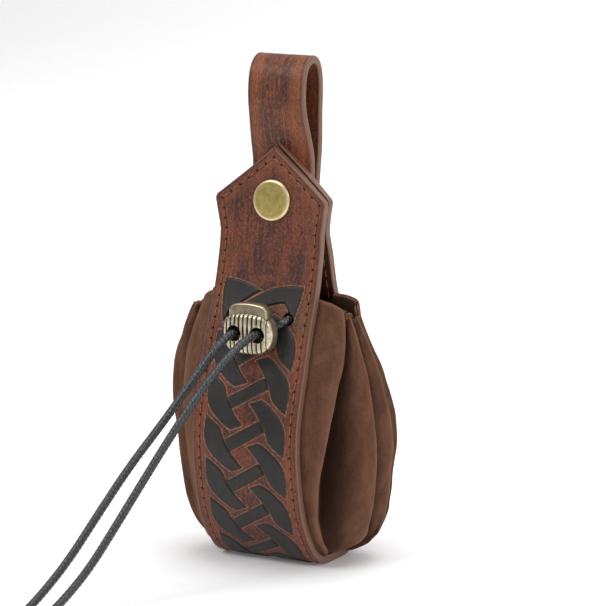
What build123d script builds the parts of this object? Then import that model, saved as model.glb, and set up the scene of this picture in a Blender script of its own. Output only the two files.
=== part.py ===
from build123d import *
from math import cos, pi, radians, sin, tan
import os

# Drawstring dice bag: a two-layer leather strip runs from the snap flap down the front,
# under the bottom and up the back. Suede gussets close its two sides, a drawstring runs
# through their turned mouth, and a belt loop stands behind the flap.
# Millimetres, +Z up, front towards -Y, origin on the floor under the middle of the bag.

# ---- driving dimensions -------------------------------------------------------------
LEATHER = 1.7            # outer leather layer
LINING = 1.5             # lining layer
STRIP = LEATHER + LINING
STRIP_HALF = 21.5        # half width of the strip
WAIST_HALF = 21.2        # half width just under the flap's shoulders
SHOULDER_HALF = 22.7     # half width at the shoulders of the pointed ends
SHOULDER_Z = 133.0
WAIST_Z = 121.0
FRONT_TIP_Z = 151.2
BACK_TIP_Z = 152.6
SHOULDER_ROUND = 2.5
FLAT_HALF = 8.0          # half length of the flat that the bag stands on

HINGE_Z = 104.0          # line where the flap folds
FOLD_LEAN = 14.0         # lean of the front panel at that line, degrees
FOLD_GAP = 3.1           # radius cleared round the fold line, for a fold past 90 degrees

LOOP_HALF = 11.8         # belt loop, half width
LOOP_TOP = 184.0

GUSSET = 1.6             # suede thickness
SEAM_GAP = 0.05          # gusset edge to strip edge

CORD_R = 1.5             # drawstring radius
EYELET_X = 11.5          # cord holes in the front panel
EYELET_Z = 91.3
EYELET_R = 2.6
CASING_X = 22.0          # centre of the round casing at each side of the mouth
CASING_Y = -6.3
CASING_Z = 92.3
CASING_TURN = 5.2        # radius that the drawstring takes round that centre

SNAP_Z = 132.3
SNAP_LEAN = 4.0          # lean of the flap face at the snap, degrees
CAP_R = 7.5
CAP_SEAT = 0.15          # how far the cap sits into the leather
CAP_RIM = 0.95           # height of the cap's straight rim above the leather
CAP_CROWN = 0.9
CAP_TAPER = 35.0
POST_R = 1.6             # post that holds cap and socket together
SOCKET_R = 5.5
SOCKET_TALL = 1.05       # height of the socket's ring behind the flap's back plate
SOCKET_BORE = 2.8
STUD_NECK_R = 2.1
STUD_HEAD_R = 2.35
FLANGE_R = 4.8           # flange of stud and eyelet
EYELET_TUBE_R = 1.7

LOCK_X = 1.0             # centre of the cord lock
LOCK_Y = -27.0
LOCK_Z = 87.0
LOCK_WIDE = 20.0
LOCK_TALL = 14.5
LOCK_DEEP = 7.2
LOCK_HOLE_X = 4.7        # cord holes either side of the lock's middle
LOCK_HOLE_R = 3.2
PLUNGER_WIDE = 15.4
PLUNGER_DEEP = 4.4
PLUNGER_FIT = 0.2
PLUNGER_TOP = 11.0       # above the lock's middle
PLUNGER_FOOT = -4.1
PLUNGER_WELL = -6.0      # floor of the well that the button runs in
PRESS = 1.8              # button travel
RIB_PITCH = 1.75
RIB_GROOVE = 0.55        # width of the groove between two ribs
RIB_DEPTH = 0.45
RIBS_EACH_SIDE = 4
SPRING_R = 1.5
SPRING_WIRE = 0.2
SPRING_TURNS = 7

REACH_X = 30.0           # past everything sideways and front to back, for cutting
REACH_Y = 45.0

# Outer face of the front panel and of the back panel, (y, z) from the tip to the floor.
FRONT_FACE = [
    (-8.2, FRONT_TIP_Z + 1), (-9.4, 132), (-10.3, 122), (-12.5, 110), (-15.7, 98),
    (-20.0, 87), (-25.5, 70), (-29.2, 57), (-30.3, 45), (-28.8, 32), (-24.8, 18), (-17.5, 6),
]
BACK_FACE = [
    (-1.5, BACK_TIP_Z + 1), (-2.7, 132), (-3.4, 123), (-1.2, 113), (1.4, 102),
    (5.6, 92), (14.5, 77), (24.5, 61), (30.3, 45), (29.2, 32), (25.0, 18), (17.5, 6),
]
# How far the gussets bulge beyond the strip's edge, (z, front y, back y, bulge).
GUSSET_RINGS = [
    (1.2, -13.0, 13.0, 4.0), (8, -19.0, 19.0, 9.5), (20, -25.6, 25.8, 14.5),
    (33, -29.0, 29.4, 17.5), (46, -30.2, 30.3, 18.5), (59, -28.7, 25.8, 18.4),
    (72, -25.0, 17.8, 16.8), (84, -21.2, 10.3, 13.6), (97, -16.0, 2.9, 9.3),
]

# Routes of the two free cords, from inside the mouth, through the eyelet, round behind the
# lock, through it and down to the floor, where each ends in a knot.
CORD_LEFT_ROUTE = [
    (-18.6, -11.5, 92.3), (-11.5, -11.5, 92.3), (-11.5, -21.1, 90.8), (-3.7, -22.0, 87.3),
    (-3.9, -37.4, 86.9), (-9.0, -50.4, 72.8), (-13.2, -64.0, 59.8), (-17.6, -79.5, 46.6),
    (-21.8, -94.5, 31.4), (-25.2, -106.5, 18.8), (-28.6, -117.5, 9.4), (-31.6, -127.5, 2.6),
    (-33.6, -137.5, 1.7), (-33.8, -147.5, 1.6), (-30.0, -156.0, 3.2), (-23.4, -160.5, 3.4),
]
CORD_RIGHT_ROUTE = [
    (18.6, -11.5, 92.3), (11.5, -11.5, 92.3), (11.5, -21.1, 90.8), (5.7, -22.2, 87.3),
    (5.5, -38.4, 87.3), (0.2, -53.4, 75.8), (-4.8, -68.0, 60.5), (-9.2, -82.5, 44.4),
    (-13.0, -95.5, 29.8), (-16.4, -107.5, 16.9), (-19.6, -118.5, 8.2), (-22.2, -128.5, 2.6),
    (-23.2, -137.5, 1.7), (-20.6, -146.5, 1.6), (-14.6, -152.8, 3.2), (-7.0, -154.8, 3.4),
]
KNOT_R = 3.3
KNOT_LONG = 7.0

os.makedirs("parts", exist_ok=True)


def save(piece, name):
    piece.part.label = name
    export_step(piece.part, f"parts/{name}.step")


# ---- the strip's profile ------------------------------------------------------------
def face_curve(points):
    """Outer face of a panel, running down to lie flat on the floor."""
    side = 1 if points[-1][0] > 0 else -1
    nodes = [(y, z) for y, z in points] + [(side * FLAT_HALF, 0)]
    return Spline(nodes, tangents=((0, -1), (-side, 0)), tangent_scalars=(1, 1))


def layer_face(points, outer, inner):
    """Profile of one layer of a panel, between two depths under its outer face."""
    side = 1 if points[-1][0] > 0 else -1
    steps = 26
    with BuildLine() as guide:
        face_curve(points)
    curve = guide.edges()[0]

    def at_depth(depth):
        found = []
        for step in range(steps + 1):
            t = step / steps
            along = curve % t
            inward = Vector(side * along.Y, -side * along.X)
            found.append(curve @ t + inward * depth)
        return found

    near, far = at_depth(outer), at_depth(inner)
    with BuildSketch(Plane.YZ.offset(-REACH_X)) as profile:
        with BuildLine():
            Spline(near)
            Line(near[-1], (0, outer))
            Line((0, outer), (0, inner))
            Line((0, inner), far[-1])
            Spline(far)
            Line(far[0], near[0])
        make_face()
    return profile.sketch


def strip_outline(tip_z):
    """Front view of a panel: a straight strip with a pointed end on low shoulders."""
    right = [(SHOULDER_HALF, SHOULDER_Z), (WAIST_HALF, WAIST_Z), (STRIP_HALF, WAIST_Z - 20)]
    right.append((STRIP_HALF, -1))
    left = [(-x, z) for x, z in reversed(right)]
    with BuildSketch(Plane.XZ.offset(-REACH_Y)) as outline:
        with BuildLine():
            Polyline([(0, tip_z)] + right + left, close=True)
        make_face()
        shoulders = [v for v in outline.vertices() if abs(abs(v.X) - SHOULDER_HALF) < 0.1]
        fillet(shoulders, SHOULDER_ROUND)
    return outline.sketch


def strip_half(points, tip_z, outer, inner):
    with BuildPart() as half:
        add(layer_face(points, outer, inner))
        extrude(amount=2 * REACH_X, dir=(1, 0, 0))
        add(strip_outline(tip_z))
        extrude(amount=2 * REACH_Y, dir=(0, -1, 0), mode=Mode.INTERSECT)
    return half.part


# ---- the fold line and the snap axis -----------------------------------------------
with BuildLine() as front_guide:
    face_curve(FRONT_FACE)
front_curve = front_guide.edges()[0]


def face_y(curve, z):
    """Where a panel's outer face is at height z."""
    low, high = 0.0, 1.0
    for _ in range(40):
        middle = (low + high) / 2
        if (curve @ middle).Y > z:
            low = middle
        else:
            high = middle
    return (curve @ low).X


HINGE_Y = face_y(front_curve, HINGE_Z) + STRIP / 2 / cos(radians(FOLD_LEAN))
SNAP_Y = face_y(front_curve, SNAP_Z)
snap_axis = Plane(
    origin=(0, SNAP_Y, SNAP_Z), x_dir=(1, 0, 0),
    z_dir=(0, -cos(radians(SNAP_LEAN)), sin(radians(SNAP_LEAN))),
)
fold_plane = Plane.YZ.offset(-30)


def snap_ring(depth, radius, height, bore=0.0):
    """Disc or washer on the snap's axis, from a depth behind the flap's face outward."""
    with BuildPart() as ring:
        with BuildSketch(snap_axis.offset(-depth)):
            Circle(radius)
            if bore:
                Circle(bore, mode=Mode.SUBTRACT)
        extrude(amount=height)
    return ring.part


# ---- snap fastener ------------------------------------------------------------------
SOCKET_BACK = STRIP - 0.05      # depth of the socket's mouth
STUD_FACE = STRIP + 0.45        # depth of the stud's flange face
EYELET_BACK = 2 * STRIP + 0.35  # depth of the rear of the back panel

with BuildPart() as snap_cap:
    with BuildSketch(snap_axis.offset(-CAP_SEAT)):
        Circle(CAP_R)
    extrude(amount=CAP_SEAT + CAP_RIM)
    with BuildSketch(snap_axis.offset(CAP_RIM)):
        Circle(CAP_R)
    extrude(amount=CAP_CROWN, taper=CAP_TAPER)
    with BuildSketch(snap_axis.offset(-CAP_SEAT)):
        Circle(POST_R)
    extrude(amount=-POST_R)
save(snap_cap, "snap_cap")

with BuildPart() as snap_socket:
    add(snap_ring(SOCKET_BACK, SOCKET_R, 0.5, bore=SOCKET_BORE))
    add(snap_ring(SOCKET_BACK - 0.5, SOCKET_R, SOCKET_TALL - 0.5, bore=SOCKET_BORE + 0.5))
    add(snap_ring(SOCKET_BACK - SOCKET_TALL, SOCKET_R, 0.3))
save(snap_socket, "snap_socket")

with BuildPart() as snap_spring:
    add(snap_ring(SOCKET_BACK - 0.58, SOCKET_BORE + 0.45, 0.4, bore=SOCKET_BORE - 0.08))
    with BuildSketch(snap_axis.offset(-SOCKET_BACK)):
        with Locations((0, 3)):
            Rectangle(0.8, 2)
    extrude(amount=2, mode=Mode.SUBTRACT)
save(snap_spring, "snap_spring")

with BuildPart() as snap_stud:
    add(snap_ring(STUD_FACE + 0.5, FLANGE_R, 0.5))
    add(snap_ring(STUD_FACE, STUD_NECK_R, 0.75))
    add(snap_ring(STUD_FACE - 0.75, STUD_HEAD_R, 0.5))
    fillet(snap_stud.edges().filter_by(GeomType.CIRCLE).sort_by(Axis.Y)[0], 0.2)
save(snap_stud, "snap_stud")

with BuildPart() as snap_eyelet:
    add(snap_ring(EYELET_BACK, FLANGE_R, 0.7))
    tube_long = EYELET_BACK - 0.7 - STUD_FACE - 0.5
    add(snap_ring(EYELET_BACK - 0.7, EYELET_TUBE_R, tube_long))
save(snap_eyelet, "snap_eyelet")


def fold_cylinder(radius):
    with BuildPart() as roll:
        with BuildSketch(fold_plane):
            with Locations((HINGE_Y, HINGE_Z)):
                Circle(radius)
        extrude(amount=60)
    return roll.part


def above_fold():
    with BuildPart() as region:
        with BuildSketch(Plane.XY.offset(HINGE_Z)):
            with Locations((0, -12)):
                Rectangle(60, 40)
        extrude(amount=60)
    return region.part


def flap_layer(outer, inner):
    """A flap layer, with the round edge that lies in the fold."""
    keep = above_fold() + fold_cylinder(STRIP / 2)
    return strip_half(FRONT_FACE, FRONT_TIP_Z, outer, inner) & keep


def strip_layer(outer, inner):
    front = strip_half(FRONT_FACE, FRONT_TIP_Z, outer, inner)
    front = front - above_fold() - fold_cylinder(FOLD_GAP)
    return front + strip_half(BACK_FACE, BACK_TIP_Z, outer, inner)


# ---- leather ------------------------------------------------------------------------
with BuildPart() as cord_holes:
    with BuildSketch(Plane.XZ):
        with Locations((-EYELET_X, EYELET_Z), (EYELET_X, EYELET_Z)):
            Circle(EYELET_R)
    extrude(amount=40)

rivet_bore = snap_ring(EYELET_BACK, EYELET_TUBE_R + 0.1, EYELET_BACK - STRIP)

with BuildPart() as flap_outer:
    add(flap_layer(0, LEATHER))
    add([snap_cap.part, snap_socket.part, snap_spring.part], mode=Mode.SUBTRACT)
save(flap_outer, "flap_outer")

with BuildPart() as flap_lining:
    add(flap_layer(LEATHER, STRIP))
    add(snap_ring(STRIP + 0.3, SOCKET_R + 0.1, STRIP + 0.3 - LEATHER), mode=Mode.SUBTRACT)
    add(snap_ring(STRIP, POST_R + 0.1, STRIP), mode=Mode.SUBTRACT)
save(flap_lining, "flap_lining")

with BuildPart() as strip_outer:
    add(strip_layer(0, LEATHER))
    add(cord_holes.part, mode=Mode.SUBTRACT)
    add(snap_ring(EYELET_BACK + 0.5, FLANGE_R + 0.1, 1.25), mode=Mode.SUBTRACT)
    add(rivet_bore, mode=Mode.SUBTRACT)
save(strip_outer, "strip_outer")

with BuildPart() as strip_lining:
    add(strip_layer(LEATHER, STRIP))
    add(cord_holes.part, mode=Mode.SUBTRACT)
    add(snap_ring(STUD_FACE + 0.55, FLANGE_R + 0.1, 3.0), mode=Mode.SUBTRACT)
    add(rivet_bore, mode=Mode.SUBTRACT)
save(strip_lining, "strip_lining")

# ---- belt loop: one strap over the top, sewn flat against the back panel ------------
with BuildPart() as belt_loop:
    with BuildSketch(Plane.YZ):
        with BuildLine():
            Spline(
                (-3.0, 114), (-3.6, 124), (-2.9, 133), (-2.3, 145), (-3.6, 151.5), (-6.9, 164),
                (-7.3, 172), (-5.0, 180.4), (-0.6, LOOP_TOP - 0.2), (3.2, LOOP_TOP - 0.4),
                (6.9, 180.6), (8.3, 171), (7.3, 156), (4.9, 143), (3.6, 130), (5.0, 114),
            )
            Line((5.0, 114), (-3.0, 114))
        make_face()
        with BuildLine():
            Spline(
                (1.5, 138.5), (0.4, 145), (-1.2, 153), (-3.7, 164), (-4.2, 171), (-2.5, 178),
                (0.4, 180.8), (3.4, 178.6), (5.2, 171), (4.3, 156), (2.9, 146), (1.5, 138.5),
                tangents=((0, 1), (0, -1)),
            )
        make_face(mode=Mode.SUBTRACT)
    extrude(amount=LOOP_HALF, both=True)
    add([strip_outer.part, strip_lining.part], mode=Mode.SUBTRACT)
    add(snap_ring(EYELET_BACK + 0.1, FLANGE_R + 0.1, 4.0), mode=Mode.SUBTRACT)
save(belt_loop, "belt_loop")


# ---- suede gussets ------------------------------------------------------------------
def gusset_section(side, z, front_y, back_y, bulge, inset):
    """Half of an oval beside the strip; an inset section opens towards the strip."""
    seam = STRIP_HALF + SEAM_GAP
    middle = (front_y + back_y) / 2
    deep = (back_y - front_y) / 2 - inset
    wide = bulge - inset
    with BuildSketch(Plane.XY.offset(z)) as section:
        with Locations((side * seam, middle)):
            Ellipse(wide, deep)
        with Locations((side * (seam - 30), middle)):
            Rectangle(60, 2 * deep + 2, mode=Mode.SUBTRACT)
    return section.sketch


def gusset(side):
    first, last = GUSSET_RINGS[0], GUSSET_RINGS[-1]
    with BuildPart() as shell:
        for ring in GUSSET_RINGS:
            add(gusset_section(side, *ring, inset=0))
        loft()
    with BuildPart() as hollow:
        add(gusset_section(side, first[0] + GUSSET, *first[1:], inset=GUSSET))
        for ring in GUSSET_RINGS[1:-1]:
            add(gusset_section(side, *ring, inset=GUSSET))
        add(gusset_section(side, last[0] + 0.5, *last[1:], inset=GUSSET))
        loft()
    return shell.part, hollow.part


for side, name in ((-1, "left"), (1, "right")):
    shell, hollow = gusset(side)
    with BuildPart() as gusset_part:
        add(shell)
        add(hollow, mode=Mode.SUBTRACT)
    save(gusset_part, f"gusset_{name}")


# ---- turned mouth casings and the drawstring inside them ---------------------------
CASING_HALF = 1.85       # half thickness of the turned hem
CASING_FOOT = 88.5
CASING_TALL = 8.2

for side, name in ((-1, "left"), (1, "right")):
    with BuildPart() as casing:
        with BuildSketch(Plane.XY.offset(CASING_FOOT)):
            with Locations((side * CASING_X, CASING_Y)):
                Circle(CASING_TURN + CASING_HALF)
                Circle(CASING_TURN - CASING_HALF, mode=Mode.SUBTRACT)
            with Locations((side * (CASING_X - 10), CASING_Y)):
                Rectangle(20, 30, mode=Mode.SUBTRACT)
        extrude(amount=CASING_TALL)
        with BuildSketch(Plane.XZ.offset(-CASING_Y)):
            with Locations((side * (CASING_X + CASING_TURN), CASING_Z)):
                Circle(CORD_R + 0.1)
        centre = Axis((side * CASING_X, CASING_Y, 0), (0, 0, 1))
        revolve(axis=centre, revolution_arc=360, mode=Mode.SUBTRACT)
    save(casing, f"mouth_casing_{name}")

with BuildPart() as drawstring_loop:
    with BuildLine(Plane.XY.offset(CASING_Z)) as loop_path:
        near_y, far_y = CASING_Y - CASING_TURN, CASING_Y + CASING_TURN
        Line((18.6, near_y), (CASING_X, near_y))
        CenterArc((CASING_X, CASING_Y), CASING_TURN, -90, 180)
        Line((CASING_X, far_y), (-CASING_X, far_y))
        CenterArc((-CASING_X, CASING_Y), CASING_TURN, 90, 180)
        Line((-CASING_X, near_y), (-18.6, near_y))
    with BuildSketch(Plane(origin=(18.6, near_y, CASING_Z), z_dir=(1, 0, 0))):
        Circle(CORD_R)
    sweep(path=loop_path.wires()[0])
save(drawstring_loop, "drawstring_loop")


# ---- free cords and their knots ------------------------------------------------------
def bend_radii(route):
    radii = []
    for before, here, after in zip(route, route[1:], route[2:]):
        into, out = Vector(here) - Vector(before), Vector(after) - Vector(here)
        turn = radians(into.get_angle(out))
        radii.append(0.45 * min(into.length, out.length) / tan(turn / 2))
    return radii


def cord_tube(route):
    with BuildPart() as tube:
        with BuildLine() as path:
            FilletPolyline(*route, radius=bend_radii(route))
        start = Vector(route[0])
        with BuildSketch(Plane(origin=start, z_dir=Vector(route[1]) - start)):
            Circle(CORD_R)
        sweep(path=path.wires()[0])
    return tube, path.wires()[0].length


def knot_at_end(route):
    along = (Vector(route[-1]) - Vector(route[-2])).normalized()
    with BuildPart() as knot:
        with BuildSketch(Plane(origin=route[-1], z_dir=along)):
            Circle(KNOT_R)
        extrude(amount=KNOT_LONG)
        rims = knot.edges().filter_by(GeomType.CIRCLE)
        fillet(rims, 1.5)
    return knot


for name, route in (("left", CORD_LEFT_ROUTE), ("right", CORD_RIGHT_ROUTE)):
    tube, length = cord_tube(route)
    save(tube, f"cord_{name}")
    save(knot_at_end(route), f"cord_knot_{name}")
    runs = [(Vector(b) - Vector(a)).length for a, b in zip(route, route[1:])]
    print(name, "cord, mm:", round(length, 1))
    print("  runs", [round(run, 1) for run in runs])
    print("  radii", [round(radius, 1) for radius in bend_radii(route)])
    print("  volume / (section x length)", round(tube.part.volume / (pi * CORD_R**2 * length), 4))

# ---- cord lock -----------------------------------------------------------------------
lock_front = Plane(origin=(LOCK_X, LOCK_Y, LOCK_Z), x_dir=(1, 0, 0), z_dir=(0, -1, 0))
lock_level = Plane(origin=(LOCK_X, LOCK_Y, LOCK_Z))

with BuildPart() as lock_body:
    with BuildSketch(lock_front):
        with BuildLine():
            top = LOCK_TALL / 2
            corner_x, corner_z = LOCK_WIDE / 2 - 2.3, top - 2.4
            ThreePointArc((-corner_x, corner_z), (0, top), (corner_x, corner_z))
            ThreePointArc((corner_x, corner_z), (LOCK_WIDE / 2, 0), (corner_x, -corner_z))
            ThreePointArc((corner_x, -corner_z), (0, -top), (-corner_x, -corner_z))
            ThreePointArc((-corner_x, -corner_z), (-LOCK_WIDE / 2, 0), (-corner_x, corner_z))
        make_face()
    extrude(amount=LOCK_DEEP / 2, both=True)
    fillet(lock_body.edges().group_by(Axis.Y)[0], 0.7)
    fillet(lock_body.edges().group_by(Axis.Y)[-1], 1.0)
    with BuildSketch(lock_level.offset(LOCK_TALL)):
        for rib in range(-RIBS_EACH_SIDE, RIBS_EACH_SIDE + 1):
            with Locations((rib * RIB_PITCH, -LOCK_DEEP / 2)):
                Rectangle(RIB_GROOVE, 2 * RIB_DEPTH)
    extrude(amount=-2 * LOCK_TALL, mode=Mode.SUBTRACT)
    with BuildSketch(lock_front):
        with Locations((-LOCK_HOLE_X, 0), (LOCK_HOLE_X, 0)):
            Circle(LOCK_HOLE_R)
    extrude(amount=LOCK_DEEP, both=True, mode=Mode.SUBTRACT)
    with BuildSketch(lock_level.offset(PLUNGER_WELL)):
        RectangleRounded(PLUNGER_WIDE + 2 * PLUNGER_FIT, PLUNGER_DEEP + 2 * PLUNGER_FIT, 1.2)
    extrude(amount=20, mode=Mode.SUBTRACT)
    with BuildSketch(lock_level.offset(PLUNGER_WELL - 0.6)):
        Circle(SPRING_R + 0.15)
    extrude(amount=0.7, mode=Mode.SUBTRACT)
save(lock_body, "lock_body")

with BuildPart() as lock_button:
    with BuildSketch(lock_level.offset(PLUNGER_FOOT)):
        RectangleRounded(PLUNGER_WIDE, PLUNGER_DEEP, 1.0)
    extrude(amount=PLUNGER_TOP - PLUNGER_FOOT)
    with BuildSketch(lock_front):
        with BuildLine():
            crown = PLUNGER_TOP - 1.0
            half = PLUNGER_WIDE / 2
            ThreePointArc((-half, crown), (0, PLUNGER_TOP), (half, crown))
            Polyline((half, crown), (half, 15), (-half, 15), (-half, crown))
        make_face()
    extrude(amount=6, both=True, mode=Mode.SUBTRACT)
    fillet(lock_button.edges().group_by(Axis.Z)[-1], 0.6)
    with BuildSketch(lock_front):
        slot_low, slot_high = -3.0, 1.9 + PRESS
        with Locations(
            (-LOCK_HOLE_X, (slot_low + slot_high) / 2), (LOCK_HOLE_X, (slot_low + slot_high) / 2)
        ):
            RectangleRounded(4.8, slot_high - slot_low, 1.2)
    extrude(amount=6, both=True, mode=Mode.SUBTRACT)
    with BuildSketch(lock_level.offset(PLUNGER_FOOT)):
        Circle(SPRING_R + 0.15)
    extrude(amount=9.0, mode=Mode.SUBTRACT)
save(lock_button, "lock_button")

SPRING_FOOT = PLUNGER_WELL - 0.55
SPRING_TALL = PLUNGER_FOOT + 8.9 - SPRING_FOOT
with BuildPart() as lock_spring:
    coil = SPRING_R - SPRING_WIRE
    with BuildLine():
        Helix(
            pitch=(SPRING_TALL - 2 * SPRING_WIRE) / SPRING_TURNS,
            height=SPRING_TALL - 2 * SPRING_WIRE, radius=coil,
            center=(LOCK_X, LOCK_Y, LOCK_Z + SPRING_FOOT + SPRING_WIRE),
        )
    with BuildSketch(
        Plane(origin=(LOCK_X + coil, LOCK_Y, LOCK_Z + SPRING_FOOT + SPRING_WIRE), z_dir=(0, 1, 0))
    ):
        Circle(SPRING_WIRE)
    sweep()
save(lock_spring, "lock_spring")

print("hinge line y", round(HINGE_Y, 3), "z", HINGE_Z, "snap y", round(SNAP_Y, 3))
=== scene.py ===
import math

import bmesh
import bpy
import numpy as np
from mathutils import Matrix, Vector, noise


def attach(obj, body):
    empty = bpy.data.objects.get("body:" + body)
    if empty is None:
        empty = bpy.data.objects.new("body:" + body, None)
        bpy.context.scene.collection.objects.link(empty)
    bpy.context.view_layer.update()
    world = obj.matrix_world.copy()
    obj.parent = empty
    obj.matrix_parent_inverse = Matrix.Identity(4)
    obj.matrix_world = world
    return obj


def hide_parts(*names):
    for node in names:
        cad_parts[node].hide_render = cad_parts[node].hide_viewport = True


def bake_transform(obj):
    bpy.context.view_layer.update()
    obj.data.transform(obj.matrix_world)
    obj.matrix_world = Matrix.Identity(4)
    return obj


# Drawstring dice bag. Lengths in the tables are millimetres, and MM turns them into metres.
MM = 0.001
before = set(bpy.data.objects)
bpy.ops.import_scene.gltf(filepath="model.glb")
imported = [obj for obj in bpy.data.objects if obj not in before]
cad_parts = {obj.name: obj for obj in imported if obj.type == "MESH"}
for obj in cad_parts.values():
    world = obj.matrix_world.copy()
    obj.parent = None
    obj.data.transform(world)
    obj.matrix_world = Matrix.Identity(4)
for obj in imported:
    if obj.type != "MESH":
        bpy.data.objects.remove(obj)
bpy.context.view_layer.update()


# ---- curves and meshes
def spline(points, start, end, count):
    """count points on the smooth curve through points, with these directions at its ends."""
    p = np.array(points, float)
    h = np.linalg.norm(np.diff(p, axis=0), axis=1) ** 0.5  # centripetal spacing
    n = len(p)
    matrix, right = np.eye(n), np.zeros_like(p)
    right[0] = np.array(start, float) * (np.linalg.norm(p[1] - p[0]) / h[0])
    right[-1] = np.array(end, float) * (np.linalg.norm(p[-1] - p[-2]) / h[-1])
    for i in range(1, n - 1):
        matrix[i, i - 1 : i + 2] = h[i], 2 * (h[i - 1] + h[i]), h[i - 1]
        right[i] = 3 * (h[i] * (p[i] - p[i - 1]) / h[i - 1] + h[i - 1] * (p[i + 1] - p[i]) / h[i])
    slope = np.linalg.solve(matrix, right)
    at = np.linspace(0, n - 1, count)
    k = np.minimum(at.astype(int), n - 2)
    t = (at - k)[:, None]
    step = h[k][:, None]
    return (
        (2 * t**3 - 3 * t**2 + 1) * p[k] + (t**3 - 2 * t**2 + t) * step * slope[k]
        + (3 * t**2 - 2 * t**3) * p[k + 1] + (t**3 - t**2) * step * slope[k + 1]
    )


def lengths(line):
    return np.concatenate([[0], np.cumsum(np.linalg.norm(np.diff(line, axis=0), axis=1))])


def at_lengths(line, where):
    along = lengths(line)
    return np.stack([np.interp(where, along, line[:, k]) for k in range(line.shape[1])], axis=1)


def smoothstep(low, high, value):
    t = np.clip((value - low) / (high - low), 0, 1)
    return t * t * (3 - 2 * t)


def make_object(name, points, faces, closed=True, smooth=True, sharp_deg=None, **attributes):
    """A mesh object from points in mm, none under the floor, with attributes on its points."""
    mesh = bpy.data.meshes.new(name)
    points = np.array(points, float)
    points[:, 2] = np.maximum(points[:, 2], 0)
    mesh.from_pydata((points * MM).tolist(), [], faces)
    if closed:
        work = bmesh.new()
        work.from_mesh(mesh)
        bmesh.ops.recalc_face_normals(work, faces=work.faces)
        work.to_mesh(mesh)
        work.free()
    for key, values in attributes.items():
        values = np.asarray(values, np.float32)
        kind, field = ("FLOAT", "value") if values.ndim == 1 else ("FLOAT_VECTOR", "vector")
        mesh.attributes.new(key, kind, "POINT").data.foreach_set(field, values.ravel())
    obj = bpy.data.objects.new(name, mesh)
    bpy.context.scene.collection.objects.link(obj)
    if smooth:
        mesh.shade_smooth()
    if sharp_deg:
        mesh.set_sharp_from_angle(angle=math.radians(sharp_deg))
    return obj


def grid_faces(rows, columns, closed=False, flip=False):
    """Quads of a grid of points, row after row; closed joins the last column to the first."""
    faces = []
    for i in range(rows - 1):
        for j in range(columns if closed else columns - 1):
            a, b = i * columns + j, i * columns + (j + 1) % columns
            quad = (a, b, b + columns, a + columns)
            faces.append(quad[::-1] if flip else quad)
    return faces


def capped_faces(rows, columns, flip=False):
    """Faces of a closed form made of loops of points, with a cap on its first and last loop."""
    first, last = tuple(range(columns)), tuple(range((rows - 1) * columns, rows * columns))
    caps = [first, last[::-1]] if flip else [first[::-1], last]
    return grid_faces(rows, columns, closed=True, flip=flip) + caps


def unit(vectors):
    """Vectors in rows, each made one long."""
    return vectors / np.linalg.norm(vectors, axis=1)[:, None]


def tube(line, radius, around=12, relief=None):
    """Points and faces of a tube along a line in mm. relief(angle, length) adds to the radius."""
    line = np.asarray(line, float)
    along = np.gradient(line, axis=0)
    along /= np.linalg.norm(along, axis=1)[:, None]
    side = np.cross(along[0], (0, 0, 1.0))
    if np.linalg.norm(side) < 1e-3:
        side = np.cross(along[0], (0, 1.0, 0))
    frames = []
    for direction in along:
        side = side - direction * (side @ direction)
        side /= np.linalg.norm(side)
        frames.append((side, np.cross(direction, side)))
    angle = np.linspace(0, 2 * np.pi, around, endpoint=False)
    distance = lengths(line)
    radius = np.broadcast_to(radius, len(line))
    rings, turn, reach = [], [], []
    for centre, (u, v), r, s in zip(line, frames, radius, distance):
        r = r + (relief(angle, s) if relief else 0 * angle)
        ring = centre + (np.cos(angle) * r)[:, None] * u + (np.sin(angle) * r)[:, None] * v
        rings.append(ring)
        turn.append(angle)
        reach.append(np.full(around, s))
    faces = capped_faces(len(line), around)
    return np.concatenate(rings), faces, np.concatenate(turn), np.concatenate(reach)


def join_parts(parts):
    """One list of points and one of faces from several."""
    points, faces, first = [], [], 0
    for some_points, some_faces in parts:
        points.append(some_points)
        faces += [tuple(first + i for i in face) for face in some_faces]
        first += len(some_points)
    return np.concatenate(points), faces


# ---- shader nodes
def rgb(red, green, blue):
    """A colour of 0 to 255 as the linear values that a shader takes."""
    part = [c / 255 for c in (red, green, blue)]
    return tuple(c / 12.92 if c <= 0.04045 else ((c + 0.055) / 1.055) ** 2.4 for c in part) + (1,)


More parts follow.
